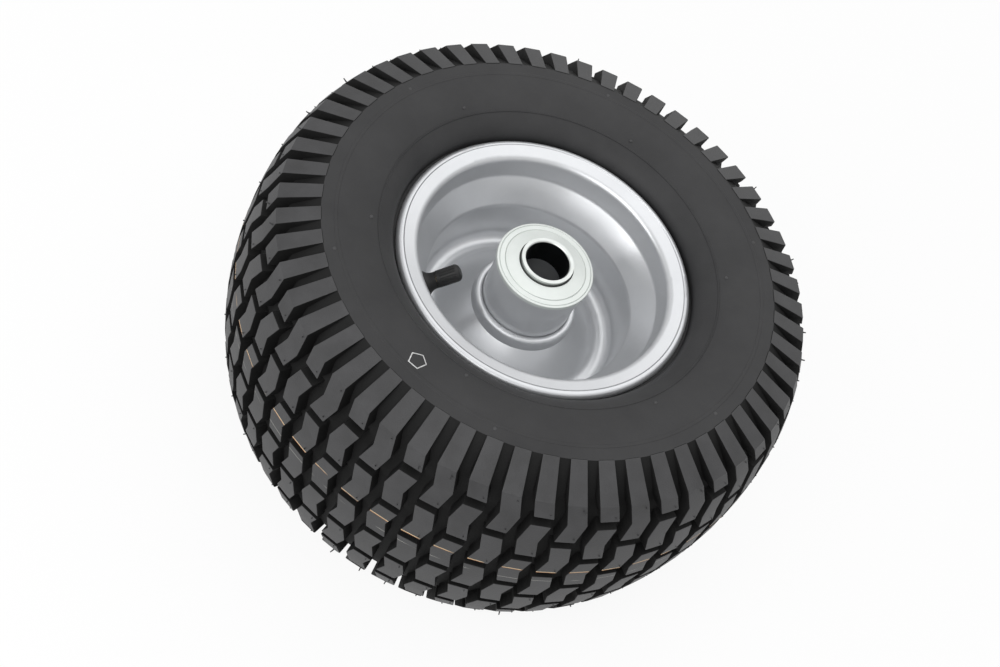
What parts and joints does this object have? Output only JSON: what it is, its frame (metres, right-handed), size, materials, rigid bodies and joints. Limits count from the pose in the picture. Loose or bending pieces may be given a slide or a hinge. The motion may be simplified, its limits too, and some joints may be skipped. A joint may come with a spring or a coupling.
{
  "type": "wheel assembly",
  "caption": "Garden machine wheel: turf-tread tubeless tyre on a pressed silver rim, with flanged ball bearings in the hub for a plain axle and a snap-in valve.",
  "frame": {"origin": "centre of the wheel: on the axle line, in the tyre's middle plane", "axes": "+Z along the axle towards the front face with the valve; the wheel lies on its rear sidewall"},
  "size_m": [0.334, 0.334, 0.159],
  "materials": {
    "tyre": "moulded black rubber, matt",
    "rim_paint": "silver paint, satin",
    "zinc_plate": "bright zinc plate",
    "ring_steel": "ground, zinc plated",
    "ball_steel": "polished",
    "cage_nylon": "moulded",
    "valve_rubber": "moulded, satin",
    "valve_brass": "turned",
    "spring_steel": "drawn wire",
    "cap_plastic": "moulded, ribbed"
  },
  "bodies": {
    "wheel": {"air_tyre": "tyre", "rim_front": "rim_paint", "rim_rear": "rim_paint", "hub_tube": "rim_paint", "front_bearing_cup": "zinc_plate", "front_bearing_cover": "zinc_plate", "rear_bearing_cup": "zinc_plate", "rear_bearing_cover": "zinc_plate", "valve_stem": "valve_rubber", "valve_insert": "valve_brass", "valve_core_barrel": "valve_brass", "valve_core_spring": "spring_steel"},
    "front_ring": {"front_inner_ring": "ring_steel"},
    "rear_ring": {"rear_inner_ring": "ring_steel"},
    "front_ball_set": {"front_balls": "ball_steel", "front_ball_cage": "cage_nylon"},
    "rear_ball_set": {"rear_balls": "ball_steel", "rear_ball_cage": "cage_nylon"},
    "core_pin": {"valve_core_pin": "valve_brass", "valve_core_seal": "valve_rubber"},
    "cap": {"valve_cap": "cap_plastic", "valve_cap_seal": "valve_rubber"}
  },
  "joints": [
    {"name": "front_ring_spin", "type": "hinge", "parent": "wheel", "child": "front_ring", "pos_m": [0, 0, 0.0575], "axis": [0, 0, 1], "continuous": true},
    {"name": "rear_ring_spin", "type": "hinge", "parent": "wheel", "child": "rear_ring", "pos_m": [0, 0, -0.0575], "axis": [0, 0, 1], "continuous": true},
    {"name": "front_ball_roll", "type": "hinge", "parent": "wheel", "child": "front_ball_set", "pos_m": [0, 0, 0.0525], "axis": [0, 0, 1], "continuous": true},
    {"name": "rear_ball_roll", "type": "hinge", "parent": "wheel", "child": "rear_ball_set", "pos_m": [0, 0, -0.0525], "axis": [0, 0, 1], "continuous": true},
    {"name": "core_pin_press", "type": "slide", "parent": "wheel", "child": "core_pin", "axis": [-0.6533, -0.4923, -0.5752], "range_m": [0, 0.0012], "stiffness_N_per_m": 400, "deforming": ["valve_core_spring"]},
    {"name": "cap_off", "type": "slide", "parent": "wheel", "child": "cap", "axis": [0.6533, 0.4923, 0.5752], "range_m": [0, 0.016]}
  ],
  "couplings": [
    {"joint": "front_ball_roll", "follows": "front_ring_spin", "ratio": 0.40463},
    {"joint": "rear_ball_roll", "follows": "rear_ring_spin", "ratio": 0.40463}
  ]
}
